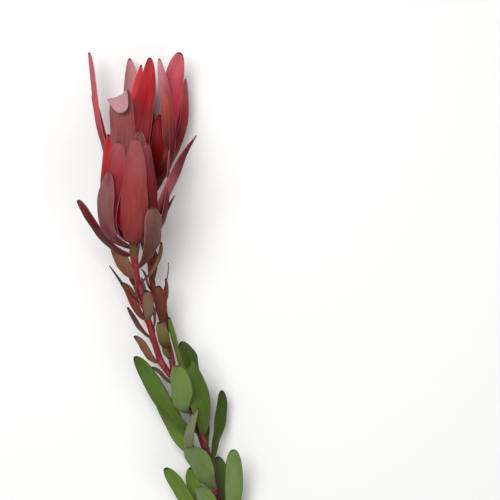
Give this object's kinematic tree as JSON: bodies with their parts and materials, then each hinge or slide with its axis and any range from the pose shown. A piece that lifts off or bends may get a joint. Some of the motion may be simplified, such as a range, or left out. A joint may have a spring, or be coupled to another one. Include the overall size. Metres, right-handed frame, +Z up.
{
  "type": "leucadendron stem",
  "caption": "Cut leucadendron stem lying down: a woody leafy stem forks into two red shoots, each ending in a head of cupped red bracts round a scaly cone.",
  "frame": {"origin": "on the surface that the stem lies on, under the middle of its bounding box", "axes": "+Y runs along the stem from the cut end to the heads, +Z is up, and +X is to the right of someone looking down with the heads away from them"},
  "size_m": [0.151, 0.5011, 0.1024],
  "materials": {
    "green_leaf": "waxy satin leaf on a matte red-brown stem",
    "red_shoot": "satin bark with small leathery leaves",
    "bract": "waxy satin bract",
    "cone": "matte scales"
  },
  "bodies": {
    "root": {"leafy_stem": "green_leaf", "front_shoot": "red_shoot", "rear_shoot": "red_shoot", "front_head": "bract", "rear_head": "bract", "front_cone": "cone", "rear_cone": "cone"}
  },
  "joints": []
}
